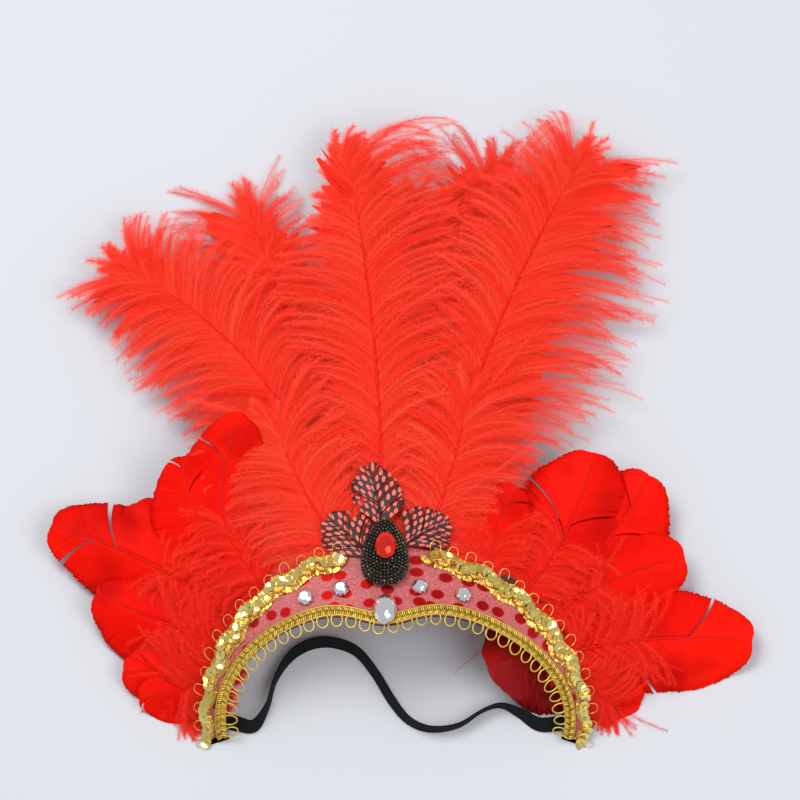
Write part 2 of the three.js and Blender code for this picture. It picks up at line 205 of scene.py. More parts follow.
def ringQuads(before, after):
    return np.stack((before, np.roll(before, -1, -1), np.roll(after, -1, -1), after), -1)


# Fans that close both ends of tubes whose points are numbered (tubes, steps, sides)
def endCaps(index):
    caps = []
    for end, order in ((index[:, 0], -1), (index[:, -1], 1)):
        hub = np.repeat(end[:, :1], index.shape[2] - 2, 1)
        fan = np.stack((hub, end[:, 1:-1], end[:, 2:]), -1)
        caps.append(fan[..., ::order].reshape(-1, 3))
    return caps


# Tubes along many paths (paths, steps, 3), with upright cross-sections
def addTubes(pile, paths, radius, sides, values=0.5, flat=1.0):
    count, steps = paths.shape[:2]
    way = unit(np.gradient(paths, axis=1))
    side = unit(np.cross((0, 0, 1.0), way))
    rise = np.cross(way, side)
    turn = np.linspace(0, 2 * np.pi, sides, endpoint=False)
    radius = np.broadcast_to(np.asarray(radius, float), (count, steps))[..., None, None]
    rings = side[:, :, None] * np.cos(turn)[:, None] + rise[:, :, None] * np.sin(turn)[:, None] * flat
    index = np.arange(count * steps * sides).reshape(count, steps, sides)
    values = np.broadcast_to(np.asarray(values, float), (count, steps))
    pile.add(paths[:, :, None] + rings * radius, quads=ringQuads(index[:, :-1], index[:, 1:]),
             values=np.repeat(values.ravel(), sides))
    for cap in endCaps(index):
        pile.triangles.append(cap + pile.count - index.size)


# One small shape set down at many places: points (k, 3), directions (places, 3, 3) as rows, centres
def addStamps(pile, shape, faces, ways, centres, values):
    points = np.einsum("kj,pji->pki", shape, ways) + centres[:, None]
    whole = faces[None] + (np.arange(len(centres)) * len(shape))[:, None, None]
    corners = "triangles" if faces.shape[1] == 3 else "quads"
    pile.add(points, values=np.repeat(values, len(shape)), **{corners: whole})


def shapeArrays(build):
    shape = bmesh.new()
    build(shape)
    shape.verts.index_update()
    points = np.array([vertex.co[:] for vertex in shape.verts])
    faces = np.array([[vertex.index for vertex in face.verts] for face in shape.faces])
    shape.free()
    return points, faces


# Materials
def newMaterial(name, **settings):
    material = bpy.data.materials.new(name)
    material.use_nodes = True
    tree = material.node_tree
    shader = tree.nodes["Principled BSDF"]
    for socket, value in settings.items():
        shader.inputs[socket.replace("_", " ")].default_value = value
    return material, tree, shader


def addNode(tree, kind, **settings):
    node = tree.nodes.new(kind)
    for key, value in settings.items():
        if key in node.bl_rna.properties:
            setattr(node, key, value)
        else:
            node.inputs[key.replace("_", " ")].default_value = value
    return node


# Two colours mixed by a factor: each is a fixed colour or comes from another node
def mixColours(tree, factor, first, second):
    mix = addNode(tree, "ShaderNodeMix", data_type="RGBA")
    tree.links.new(factor, mix.inputs[0])
    for socket, colour in ((mix.inputs[6], first), (mix.inputs[7], second)):
        if isinstance(colour, tuple):
            socket.default_value = colour
        else:
            tree.links.new(colour, socket)
    return mix.outputs[2]


def textureOn(tree, coords, kind, **settings):
    node = addNode(tree, kind, **settings)
    tree.links.new(coords, node.inputs["Vector"])
    return node


def layMap(tree):
    return addNode(tree, "ShaderNodeUVMap", uv_map="lay").outputs["UV"]


def objectCoords(tree):
    return addNode(tree, "ShaderNodeTexCoord").outputs["Object"]


def maskFrom(tree, value, low, high, most=1.0):
    limits = addNode(tree, "ShaderNodeMapRange", From_Min=low, From_Max=high, To_Max=most)
    tree.links.new(value, limits.inputs["Value"])
    return limits.outputs["Result"]


def bumpFrom(tree, shader, height, strength, distance):
    bump = addNode(tree, "ShaderNodeBump", Strength=strength, Distance=distance)
    tree.links.new(height, bump.inputs["Height"])
    tree.links.new(bump.outputs["Normal"], shader.inputs["Normal"])


# Two colours mixed by the mesh's tone value, with a third for the shafts, whose tone is one; on feathers the
# tone carries painted shade as well as random variation
shaftTone = 1.0
shaftTonesFrom = 0.97


def toneGroup():
    group = bpy.data.node_groups.new("tone and shade", "ShaderNodeTree")
    for name in ("Deep", "Bright", "Shaft"):
        group.interface.new_socket(name, in_out="INPUT", socket_type="NodeSocketColor")
    group.interface.new_socket("Color", in_out="OUTPUT", socket_type="NodeSocketColor")
    groupColours = group.nodes.new("NodeGroupInput")
    result = group.nodes.new("NodeGroupOutput")
    tone = addNode(group, "ShaderNodeAttribute", attribute_name="tone")
    shaft = addNode(group, "ShaderNodeMath", operation="GREATER_THAN")
    shaft.inputs[1].default_value = shaftTonesFrom
    group.links.new(tone.outputs["Fac"], shaft.inputs[0])
    blend = mixColours(group, tone.outputs["Fac"], groupColours.outputs["Deep"], groupColours.outputs["Bright"])
    pick = mixColours(group, shaft.outputs[0], blend, groupColours.outputs["Shaft"])
    group.links.new(pick, result.inputs["Color"])
    return group


toneAndShadeGroup = toneGroup()


def toned(tree, shader, deep, bright, shaft):
    node = addNode(tree, "ShaderNodeGroup")
    node.node_tree = toneAndShadeGroup
    for socket, tintColour in (("Deep", deep), ("Bright", bright), ("Shaft", shaft)):
        node.inputs[socket].default_value = (*tintColour, 1)
    tree.links.new(node.outputs["Color"], shader.inputs["Base Color"])
    return node.outputs["Color"]


ostrichRed, tree, shader = newMaterial("ostrich_red", Roughness=0.8, Specular_IOR_Level=0.15,
                                       Sheen_Weight=0.06, Sheen_Roughness=0.4,
                                       Sheen_Tint=(1, 0.25, 0.18, 1))
toned(tree, shader, (0.97, 0.018, 0.007), (1.0, 0.085, 0.042), (0.85, 0.012, 0.005))

gooseRed, tree, shader = newMaterial("goose_red", Roughness=0.55, Specular_IOR_Level=0.05)
vaneToneColour = toned(tree, shader, (0.66, 0.001, 0.0004), (1.0, 0.009, 0.0015), (0.88, 0.016, 0.005))
# painted shade: large soft patches of darker red spread over the goose vanes by noise
shadeNoise = textureOn(tree, objectCoords(tree), "ShaderNodeTexNoise", Scale=26.0, Detail=2.0)
paintedShadePatches = maskFrom(tree, shadeNoise.outputs["Fac"], 0.5, 0.72, most=0.75)
patched = mixColours(tree, paintedShadePatches, vaneToneColour, (0.42, 0.0005, 0.001, 1))
tree.links.new(patched, shader.inputs["Base Color"])

# painted shade: a darkened copy of the goose red, vane, shaft and down, for the feather that lies under the
# band
goosePaintedShade, tree, shader = newMaterial("goose_painted_shade", Roughness=0.5, Specular_IOR_Level=0.2)
toned(tree, shader, (0.2, 0.0005, 0.001), (0.4, 0.001, 0.001), (0.4, 0.01, 0.006))

downRed, tree, shader = newMaterial("down_red", Roughness=0.85, Specular_IOR_Level=0.15, Sheen_Weight=0.08)
toned(tree, shader, (0.85, 0.005, 0.0015), (1.0, 0.036, 0.014), (0.7, 0.01, 0.004))


# Elastic strap: a flat ribbon standing half on edge in loose curves on the floor
strapForm = {"width": 10.0, "thickness": 1.0, "floorGap": 0.2, "endLift": 0.9, "endShare": 0.1, "steps": 190,
             "rollMore": 20.0, "sides": 20, "squareness": 0.25}
# across, along the floor, degrees rolled up from flat
strapRoute = np.array((
    (-93, 0, 41), (-85, -2, 40), (-76, -3, 48), (-69, 8, 66), (-65, 22, 66), (-57, 35, 52), (-46, 42, 46),
    (-34, 43, 46), (-21, 38, 48), (-11, 26, 48), (-2, 11, 48), (7, 0, 55), (19, -5, 62), (34, -3, 68),
    (47, 5, 74), (57, 8, 70), (67, 4, 56), (77, -2, 42), (86, -2, 40), (93, 0, 41)), float)


def splineAt(route, share):
    last = len(route) - 1
    at = np.clip(share * last, 0, last - 1e-9)
    i = at.astype(int)
    t = (at - i)[:, None]
    padded = np.vstack((2 * route[0] - route[1], route, 2 * route[-1] - route[-2]))
    a, b, c, d = (padded[i + k] for k in range(4))
    return 0.5 * (2 * b + (c - a) * t + (2 * a - 5 * b + 4 * c - d) * t**2 + (3 * b - a - 3 * c + d) * t**3)


def strapLine():
    share = np.linspace(0, 1, strapForm["steps"] + 1)
    row = splineAt(strapRoute, share)
    roll = np.radians(row[:, 2] + strapForm["rollMore"] * np.sin(np.pi * share) ** 0.5)
    way = unit(np.gradient(row[:, :2], axis=0))
    corner = (strapForm["width"] * np.sin(roll) + strapForm["thickness"] * np.cos(roll)) / 2
    lift = strapForm["endLift"] * np.maximum(0, 1 - np.minimum(share, 1 - share) / strapForm["endShare"])
    centre = np.column_stack((row[:, :2], strapForm["floorGap"] + lift + corner))
    across = np.column_stack((-way[:, 1] * np.cos(roll), way[:, 0] * np.cos(roll), np.sin(roll)))
    return centre, across, unit(np.cross(unit(np.gradient(centre, axis=0)), across))


elasticBlack, tree, shader = newMaterial("elastic_black", Base_Color=(0.005, 0.005, 0.0055, 1),
                                         Roughness=0.85, Specular_IOR_Level=0.2)
ribs = textureOn(tree, layMap(tree), "ShaderNodeTexWave", wave_type="BANDS", bands_direction="Y", Scale=2.4)
bumpFrom(tree, shader, ribs.outputs["Fac"], 0.5, 0.0003)
strapCentre, strapAcross, strapUp = strapLine()
strapLength = np.linalg.norm(np.diff(strapCentre, axis=0), axis=1).sum() * 0.001
strapTurn = np.linspace(0, 2 * np.pi, strapForm["sides"], endpoint=False)
squared = np.sign(np.cos(strapTurn)) * np.abs(np.cos(strapTurn)) ** strapForm["squareness"]
outBy = squared * strapForm["width"] / 2
upBy = np.sin(strapTurn) * strapForm["thickness"] / 2
strapRings = strapCentre[:, None] + strapAcross[:, None] * outBy[:, None] + strapUp[:, None] * upBy[:, None]
strapIndex = np.arange(strapRings.size // 3).reshape(strapRings.shape[:2])
alongBy = np.repeat(np.linspace(0, strapLength * 1000, len(strapRings)), strapForm["sides"])
strapPile = Pile()
strapPile.add(strapRings, quads=ringQuads(strapIndex[:-1], strapIndex[1:]),
              planar=np.column_stack((alongBy, np.tile(outBy, len(strapRings)))))
strapPile.triangles.extend(endCaps(strapIndex[None]))
strapMesh = strapPile.mesh("elastic_strap_woven")
strap = addPiece(strapMesh, elasticBlack, "elastic_strap", smooth=True)
print("elastic laid,", round(strapLength, 4), "m")


# Feathers: the same roots, tips, bows and widths as the CAD solids, grown out barb by barb
# leave and open are degrees from the quill, close is how much of them is lost towards the tip
kinds = {
    "ostrich": {"vaneFrom": 0.04, "fullAt": 0.36, "tipFrom": 0.7, "leave": 34, "open": 88, "close": 0.45,
                "steps": 8},
    "goose": {"vaneFrom": 0.02, "fullAt": 0.5, "tipFrom": 0.62, "leave": 36, "open": 70, "close": 0.25,
              "steps": 7, "sweep": 0.8},
    "down": {"vaneFrom": 0.02, "fullAt": 0.35, "tipFrom": 0.6, "leave": 30, "open": 95, "close": 0.45,
             "steps": 7},
    "guinea": {"vaneFrom": 0.05, "fullAt": 0.5, "tipFrom": 0.6, "leave": 38, "open": 64, "close": 0.45,
               "steps": 6, "sweep": 0.8},
}
layerPitch = 2.1


def feather(root, tip, bow, left, right, layer, lift, **more):
    return {"root": root, "tip": tip, "bow": bow, "left": left, "right": right, "layer": layer, "lift": lift,
            **more}


def sideWidth(row, side):
    return row["left"] if side > 0 else row["right"]


def quillAt(row, share):
    root, tip = np.array(row["root"], float), np.array(row["tip"], float)
    chord = tip - root
    left = np.array((-chord[1], chord[0])) / np.linalg.norm(chord)
    bend = (root + tip) / 2 + left * 2 * row["bow"]
    s = np.asarray(share, float)[..., None]
    point = (1 - s) ** 2 * root + 2 * s * (1 - s) * bend + s**2 * tip
    way = unit((1 - s) * (bend - root) + s * (tip - bend))
    return point, way, np.stack((-way[..., 1], way[..., 0]), -1)


def smoothStep(value, low, high):
    t = np.clip((value - low) / (high - low), 0, 1)
    return t * t * (3 - 2 * t)


def vaneProfile(kind, share):
    past = np.clip((share - kind["tipFrom"]) / (1 - kind["tipFrom"]), 0, 1)
    return smoothStep(share, kind["vaneFrom"], kind["fullAt"]) * np.sqrt(1 - past**2)


# How far a barb reaches sideways if its end, swept forward, is to lie on the feather's outline
def outlineReach(row, kind, share, width):
    length = math.dist(row["root"], row["tip"])
    low, high = np.zeros_like(share), np.full_like(share, width)
    for _ in range(24):
        middle = (low + high) / 2
        outside = middle > width * vaneProfile(kind, np.minimum(share + kind["sweep"] * middle / length, 1))
        low, high = np.where(outside, low, middle), np.where(outside, middle, high)
    return low


def layHeight(row, x, y, share):
    inFront = row["layer"] < 0
    depth = faceTop + 1.2 if inFront else -(row["layer"] + 0.5) * layerPitch
    return surfaceHeight(x, y) + depth + row["lift"] * share**3


# Barbs at the height where their feather lies, plus a rise of their own
def layBarbs(row, plan, share, rise, least):
    z = layHeight(row, plan[..., 0], plan[..., 1], share[:, None]) + rise
    return np.concatenate((plan, np.maximum(z, least)[..., None]), -1)


strayForm = {"share": 0.07, "more": 3.0, "spreadUnder": 8}


# Barb lines of one side: plan paths that leave the quill along it and open outwards
def barbLines(row, kind, share, side, reach, random, spread, lengthJitter=0.08, clump=0.0, clumpSize=4):
    count, steps = len(share), kind["steps"]
    q = np.linspace(0, 1, steps + 1)
    point, way, left = quillAt(row, share)
    tipwards = smoothStep(share, 0.72, 1.0)[:, None]
    leave = kind["leave"] * (1 - kind["close"] * tipwards)
    opening = kind["open"] * (1 - row.get("close", kind["close"]) * tipwards)
    strayShare = strayForm["share"] if spread < strayForm["spreadUnder"] else 0
    stray = 1 + strayForm["more"] * (random.random((count, 1)) < strayShare)
    phi = leave + (opening - leave) * q**0.85 + random.normal(0, spread, (count, 1)) * q * stray
    phi = phi + spread * np.sin(share * 31 + random.uniform(0, 6) + 3 * np.sin(share * 13))[:, None] * q
    curl = row.get("curl", 0.0) * tipwards * q**1.3
    angle = np.radians(phi * side + curl)
    onward = np.cos(angle)[..., None] * way[:, None] + np.sin(angle)[..., None] * left[:, None]
    middle = (onward[:, 1:] + onward[:, :-1]) / 2
    sideways = np.maximum(0.35, np.abs(np.sin(np.radians((phi[:, 1:] + phi[:, :-1]) / 2))).mean(1))
    stepLength = reach / sideways * (1 + random.normal(0, lengthJitter, count)) / steps
    moved = np.concatenate((np.zeros((count, 1, 2)), np.cumsum(middle, 1)), 1)
    plan = point[:, None] + moved * stepLength[:, None, None]
    if clump:
        sizes = random.integers(clumpSize - 1, clumpSize + 2, count)
        group = np.repeat(np.arange(count), sizes)[:count]
        centre = np.array([share[group == g].mean() for g in range(group.max() + 1)])[group]
        drift = (centre - share) * math.dist(row["root"], row["tip"]) * clump
        plan = plan + (drift[:, None] * q**1.6)[..., None] * way[:, None]
    return plan, q


def addShaft(pile, row, radii, until, above, tone):
    steps = 26
    share = np.linspace(0, until, steps)
    point, _, _ = quillAt(row, share)
    z = layHeight(row, point[:, 0], point[:, 1], share) + above
    path = np.column_stack((point, np.maximum(z, 0.6)))
    addTubes(pile, path[None], np.linspace(*radii, steps)[None], 6, values=tone)


def barbTones(random, middle, count):
    return np.clip(random.normal(middle, 0.2, count), 0.05, 0.9)


# Barb strips and the barbules on them: how far barbules lean from the barb, and roll out of its plane, and
# the painted shading along each barb, darker at the root and lighter at the thin tip
barbuleForm = {"lean": 34, "leanSpread": 8, "roll": 28.0, "shadingAlong": 0.12, "toneSpread": 0.06}


def addFluff(pile, points, q, random, form, perBarb, tones):
    count, steps = points.shape[0], points.shape[1] - 1
    upward = np.array((0, 0, 1.0))
    way = unit(np.gradient(points, axis=1))
    flat = unit(np.cross(upward, way))
    width = form["barbWidth"] * (1 - 0.7 * q)[None, :, None]
    strip = np.stack((points - flat * width / 2, points + flat * width / 2), 2)
    index = np.arange(count * (steps + 1) * 2).reshape(count, steps + 1, 2)
    quads = np.stack((index[:, :-1, 0], index[:, 1:, 0], index[:, 1:, 1], index[:, :-1, 1]), -1)
    # painted shade and light: each barb strip darker at its root and lighter at its thin tip
    shade = tones[:, None] + barbuleForm["shadingAlong"] * (q[None] - 0.5)
    pile.add(strip, quads=quads, values=np.clip(np.repeat(shade.ravel(), 2), 0, 0.95))
    at = (np.arange(perBarb) + random.random((count, perBarb))) / perBarb * 0.97 + 0.02
    place = at * steps
    i = np.minimum(place.astype(int), steps - 1)
    t = (place - i)[..., None]
    rows = np.arange(count)[:, None]
    base = points[rows, i] * (1 - t) + points[rows, i + 1] * t
    along = unit(way[rows, i] * (1 - t) + way[rows, i + 1] * t)
    flank = unit(np.cross(upward, along)) * np.where(np.arange(perBarb) % 2, 1.0, -1.0)[None, :, None]
    lean = np.radians(random.normal(barbuleForm["lean"], barbuleForm["leanSpread"], at.shape))[..., None]
    roll = np.radians(random.uniform(-barbuleForm["roll"], barbuleForm["roll"], at.shape))[..., None]
    out = along * np.cos(lean) + (flank * np.cos(roll) + upward * np.sin(roll)) * np.sin(lean)
    length = form["barbule"]["length"] * (1 - 0.5 * at**2) * random.uniform(0.55, 1.15, at.shape)
    half = along * form["barbule"]["width"] / 2
    corners = np.stack((base - half, base + half, base + out * length[..., None]), 2)
    # the barbules take the same painted shading along their barb
    tone = tones[:, None] + barbuleForm["shadingAlong"] * (at - 0.5)
    tone = np.clip(tone + random.normal(0, barbuleForm["toneSpread"], at.shape), 0, 0.95)
    triangles = np.arange(count * perBarb * 3).reshape(-1, 3)
    pile.add(corners, triangles=triangles, values=np.repeat(tone.ravel(), 3))


# Ostrich plumes
frontPlume = {"skirt": 34, "barbs": 260, "barbules": 150}
backPlume = {"wide": 1.2, "under": 0.6, "barbs": 300, "barbules": 96}
plumes = {
    "plume_front_left": feather((-20, 70), (-66, 158), 3, 44, 36, 0, 4, **frontPlume, seed=11),
    "plume_front_right": feather((8, 70), (40, 178), -4, 30, 36, 1, 3, **frontPlume, seed=12),
    "plume_centre": feather((-8, 66), (-30, 330), -8, 48, 46, 2, 10, barbs=430, barbules=195, seed=13,
                            curl=-95.0, close=0.55, tipLeft=0.45, tipRight=1.1),
    "plume_left": feather((-28, 66), (-168, 262), -34, 48, 36, 3, 4, barbs=430, barbules=195, seed=14,
                          curl=8.0, last=0.89, tipLeft=0.72),
    "plume_right": feather((14, 66), (115, 334), 14, 40, 64, 3, 8, barbs=440, barbules=195, seed=15,
                           curl=-20.0, last=0.89, tipRight=0.62),
    "plume_back_left": feather((-18, 64), (-86, 303), -4, 38, 24, 4, -12, **backPlume, seed=16),
    "plume_back_centre": feather((-2, 64), (12, 304), 4, 24, 34, 5, 0, **backPlume, seed=17),
    "plume_back_right": feather((6, 64), (60, 330), 8, 34, 34, 6, -12, **backPlume, seed=18),
}
plumeForm = {"barbWidth": 0.45, "hump": 3.0, "droop": 4.0, "loose": 2.8, "clump": 0.5, "clumpSize": 3,
             "barbule": {"length": 7.5, "width": 0.32}, "lastBarb": 0.91, "skirt": 16,
             "under": 140, "underReach": 0.46, "tuft": 44, "shaft": (1.1, 0.3)}


def plumeReach(row, kind, share, width):
    vane = np.maximum(vaneProfile(kind, share), 0.3 * smoothStep(share, 0.6, 0.9))
    skirt = row.get("skirt", plumeForm["skirt"]) * (1 - smoothStep(share, 0.12, 0.55)) + 4
    return np.maximum(row.get("wide", 1.0) * width * vane, skirt)


# A ragged inner vane that closes the plume where its barbs lie thickest
def addUnderVane(pile, row, kind, random):
    count = plumeForm["under"]
    for side in (1, -1):
        share = np.linspace(0.02, plumeForm["lastBarb"] - 0.02, count)
        reach = plumeReach(row, kind, share, sideWidth(row, side)) * row.get("under", plumeForm["underReach"])
        plan, q = barbLines(row, kind, share, side, reach, random, spread=1.5, lengthJitter=0.2)
        hump = (reach / 45)[:, None] * plumeForm["hump"] * np.sin(np.pi * q * 0.7)
        points = layBarbs(row, plan, share, hump - 1.2 + random.normal(0, 0.35, (count, 1)) * q, 0.4)
        quads = gridQuads(np.arange(count * len(q)).reshape(count, len(q)))
        tone = np.clip(random.normal(0.4, 0.22, (count, 1)) + 0 * q, 0, 0.95)
        pile.add(points, quads=quads if side < 0 else quads[..., ::-1], values=tone.ravel())


def addPlumeFluff(pile, row, points, q, random):
    addFluff(pile, points, q, random, plumeForm, row["barbules"], barbTones(random, 0.5, len(points)))


def addPlumeSide(pile, row, kind, side, random):
    count = row["barbs"] // 2
    until = row.get("last", plumeForm["lastBarb"]) - 0.04
    share = kind["vaneFrom"] + (np.arange(count) + random.random(count) * 0.8) / count * until
    atTip = row.get("tipLeft" if side > 0 else "tipRight", 1.0)
    reach = plumeReach(row, kind, share, sideWidth(row, side))
    reach = reach * (1 + (atTip - 1) * smoothStep(share, 0.55, 0.85))
    plan, q = barbLines(row, kind, share, side, reach, random, spread=6.0, lengthJitter=0.13,
                        clump=plumeForm["clump"], clumpSize=plumeForm["clumpSize"])
    arc = (reach / 45)[:, None] * (plumeForm["hump"] * np.sin(np.pi * q) - plumeForm["droop"] * q**2)
    loose = random.normal(0, plumeForm["loose"], (count, 1)) * q + random.normal(0, 0.5, (count, 1))
    addPlumeFluff(pile, row, layBarbs(row, plan, share, arc + loose, 0.6), q, random)


# Short barbs that point on past the end of the shaft
def addTuft(pile, row, kind, random):
    count = plumeForm["tuft"]
    share = np.linspace(0.8, row.get("last", plumeForm["lastBarb"]) + 0.03, count)
    side = np.where(np.arange(count) % 2, 1, -1)[:, None]
    reach = random.uniform(5.5, 9.0, count)
    plan, q = barbLines(row, {**kind, "leave": 6, "open": 46}, share, side, reach, random, spread=9.0)
    rise = random.normal(0.6, 0.8, (count, 1)) * (0.3 + q)
    addPlumeFluff(pile, row, layBarbs(row, plan, share, rise, 0.6), q, random)


for name, row in plumes.items():
    random = np.random.default_rng(row["seed"])
    pile = Pile()
    for side in (1, -1):
        addPlumeSide(pile, row, kinds["ostrich"], side, random)
    addTuft(pile, row, kinds["ostrich"], random)
    addUnderVane(pile, row, kinds["ostrich"], random)
    addShaft(pile, row, plumeForm["shaft"], 0.94, 0.6, shaftTone)
    addPiece(pile.mesh(name + "_barbs"), ostrichRed, name)
print("ostrich plumes grown")


# Goose feathers: webbed vanes that part here and there, downy at the quill
gooseFeathers = {
    "goose_left_top": feather((-64, 62), (-82, 160), 20, 21, 23, 1, 22),
    "goose_left_side": feather((-68, 56), (-116, 138), 9, 21, 21, 2, 15),
    "goose_left_long": feather((-78, 44), (-187, 106), -7, 21, 21, 3, 3),
    "goose_left_upper": feather((-80, 46), (-142, 118), 5, 19, 19, 4, 0),
    "goose_left_mid": feather((-84, 40), (-162, 68), 4, 18, 18, 2, 3),
    "goose_left_low": feather((-88, 36), (-147, 26), 4, 14, 14, 1, 2),
    "goose_left_bottom": feather((-90, 26), (-138, 12), 3, 12, 12, 0, 2),
    "goose_right_inner": feather((54, 64), (66, 122), 6, 18, 16, 0, 1),
    "goose_right_top": feather((64, 56), (108, 142), -6, 27, 27, 1, 8),
    "goose_right_side": feather((74, 44), (157, 87), 6, 20, 20, 2, 2),
    "goose_right_upper": feather((70, 50), (138, 132), -6, 23, 23, 3, 4),
    "goose_right_mid": feather((78, 40), (152, 64), 4, 17, 17, 4, 0),
    "goose_right_long": feather((84, 30), (193, 42), 6, 21, 21, 1, 6),
    "goose_right_bottom": feather((88, 20), (133, 10), 4, 13, 13, 2, 0),
    "goose_right_under": feather((100, 62), (48, 24), 4, 36, 22, 5, 0, scale=1.0, webs=0),
}
gooseForm = {"barbs": 130, "webs": 1, "camber": 0.3, "part": 2.0, "ridge": 0.035, "thickness": 0.25,
             "drift": 4.0, "reach": 1.3, "shaft": (0.7, 0.2), "fluff": 44, "fluffUntil": 0.46,
             "fluffLength": 21.0, "barbWidth": 0.3, "barbule": {"length": 6.0, "width": 0.36}, "barbules": 84}


def addVane(pile, row, kind, form, random):
    count, webs = form["barbs"], row.get("webs", form["webs"])
    order = np.linspace(0, 1, count)
    share = 1.0 - (1.0 - order) ** 1.15 * (0.97 - kind["vaneFrom"])  # closer together towards the tip
    share = np.minimum(share, 0.985 + 0.012 * order)
    _, way, _ = quillAt(row, share)
    for side in (1, -1):
        width = sideWidth(row, side) * row.get("scale", form["reach"])
        reach = np.maximum(outlineReach(row, kind, share, width), 0.4)
        web = np.searchsorted(np.sort(random.uniform(0.2, 0.97, webs)), share)
        plan, q = barbLines(row, kind, share, side, reach, random, spread=0.4, lengthJitter=0.012)
        webShare = np.array([share[web == w].mean() if (web == w).any() else 0 for w in range(webs + 1)])
        pull = random.uniform(0.3, 1.0, webs + 1)
        drift = -(share - webShare[web]) * pull[web] * form["drift"]
        plan = plan + (drift[:, None] * q**2.2)[..., None] * way[:, None]
        rise = random.normal(0, 0.5, webs + 1)[web][:, None] * form["part"] * 0.5 * q**2
        rise = rise - form["camber"] * reach[:, None] * q**2 + random.normal(0, form["ridge"], (count, 1))
        rise = rise + 0.8 * np.sin(share * random.uniform(5, 11) + side)[:, None] * q
        points = layBarbs(row, plan, share, rise, 0.5)
        index = np.arange(count * len(q)).reshape(count, len(q))
        joined = web[1:] == web[:-1]
        before, after = index[:-1][joined], index[1:][joined]
        quads = np.stack((before[:, :-1], before[:, 1:], after[:, 1:], after[:, :-1]), -1)
        # painted shade: the vane darkens towards the quill and lightens towards the tip, on top of a random
        # tone for each web
        tone = random.normal(0.42, 0.12, webs + 1)[web] + 0.5 * (share - 0.5)
        tone = np.clip(tone + random.normal(0, 0.07, count), 0, 0.95)
        planar = np.stack((share[:, None] * np.ones_like(q) * 100, side * q * reach[:, None]), -1)
        pile.add(points, quads=quads if side < 0 else quads[..., ::-1], values=np.repeat(tone, len(q)),
                 planar=planar)


def addVanePiece(pile, name, material, form):
    vane = addPiece(pile.mesh(name + "_vane"), material, name, smooth=True)
    skin = vane.modifiers.new("skin", "SOLIDIFY")
    skin.thickness = form["thickness"] * 0.001
    skin.offset = 0


def addQuillDown(pile, row, form, random):
    count = form["fluff"]
    for side in (1, -1):
        share = np.sort(random.uniform(0.03, form["fluffUntil"], count))
        reach = form["fluffLength"] * random.uniform(0.7, 1.2, count)
        plan, q = barbLines(row, kinds["down"], share, side, reach, random, spread=22.0)
        points = layBarbs(row, plan, share, random.normal(0.8, 1.0, (count, 1)) * q, 0.5)
        addFluff(pile, points, q, random, form, form["barbules"], barbTones(random, 0.5, count))


for order, (name, row) in enumerate(gooseFeathers.items()):
    random = np.random.default_rng(40 + order)
    # the feather under the band takes the painted-shade material for its vane and its quill down
    inShade = name == "goose_right_under"
    vane, quill = Pile(), Pile()
    addVane(vane, row, kinds["goose"], gooseForm, random)
    addVanePiece(vane, name, goosePaintedShade if inShade else gooseRed, gooseForm)
    addShaft(quill, row, gooseForm["shaft"], 0.97, 0.25, shaftTone)
    addQuillDown(quill, row, gooseForm, random)
    addPiece(quill.mesh(name + "_quill"), goosePaintedShade if inShade else downRed, name)
print("goose feathers grown")

# Down tufts at both ends of the band
downTufts = {
    "down_left": feather((-84, 32), (-114, 4), 2, 11, 17, 2, 0),
    "down_right": feather((84, 30), (118, 8), -2, 17, 11, 0, 0),
}
downForm = {"barbs": 75, "barbules": 150, "barbWidth": 0.3, "barbule": {"length": 4.5, "width": 0.24},
            "wide": 1.2, "shortest": 9.0, "loose": 1.6, "shaft": (0.7, 0.2)}
for order, (name, row) in enumerate(downTufts.items()):
    random = np.random.default_rng(70 + order)
    pile = Pile()
    for side in (1, -1):
        share = np.linspace(0.05, 0.9, downForm["barbs"])
        reach = downForm["wide"] * sideWidth(row, side) * np.maximum(vaneProfile(kinds["down"], share), 0.5)
        reach = np.maximum(reach, downForm["shortest"])
        plan, q = barbLines(row, kinds["down"], share, side, reach, random, spread=16.0, lengthJitter=0.15)
        rise = random.normal(0, downForm["loose"], (len(share), 1)) * q
        points = layBarbs(row, plan, share, rise, 0.6)
        tones = barbTones(random, 0.55, len(share))
        addFluff(pile, points, q, random, downForm, downForm["barbules"], tones)
    addShaft(pile, row, downForm["shaft"], 0.95, 0.3, shaftTone)
    addPiece(pile.mesh(name + "_barbs"), downRed, name)

# Guinea feathers: dark, split into strands, spotted
guineaFeathers = {
    "guinea_left": feather((-13, 76), (-36, 101), -2, 9, 9, -1, 1),
    "guinea_top": feather((-8, 92), (-15, 131), -2, 8, 8, -1, 2),
    "guinea_right": feather((3, 84), (28, 99), 2, 9, 9, -1, 1),
}
guineaForm = {"barbs": 80, "webs": 7, "camber": 0.1, "part": 1.2, "ridge": 0.03, "thickness": 0.2,
              "drift": 6.0, "reach": 1.7, "shaft": (0.5, 0.15)}
guineaDark, tree, shader = newMaterial("guinea_dark", Roughness=0.55)
spotLay = textureOn(tree, layMap(tree), "ShaderNodeMapping", Scale=(0.08, 0.3, 1))
spots = textureOn(tree, spotLay.outputs["Vector"], "ShaderNodeTexVoronoi", voronoi_dimensions="2D", Scale=1.0,
                  Randomness=0.35)
inSpot = maskFrom(tree, spots.outputs["Distance"], 0.36, 0.28)
spotted = mixColours(tree, inSpot, (0.035, 0.006, 0.005, 1), (0.85, 0.16, 0.11, 1))
tree.links.new(spotted, shader.inputs["Base Color"])
for order, (name, row) in enumerate(guineaFeathers.items()):
    pile = Pile()
    addVane(pile, row, kinds["guinea"], guineaForm, np.random.default_rng(90 + order))
    addShaft(pile, row, guineaForm["shaft"], 0.97, 0.2, 0.1)
    addVanePiece(pile, name, guineaDark, guineaForm)
print("down and guinea feathers grown")


# Band: black felt behind, glitter cloth in front, with its pattern laid out flat round the arch
patternRadius = 75


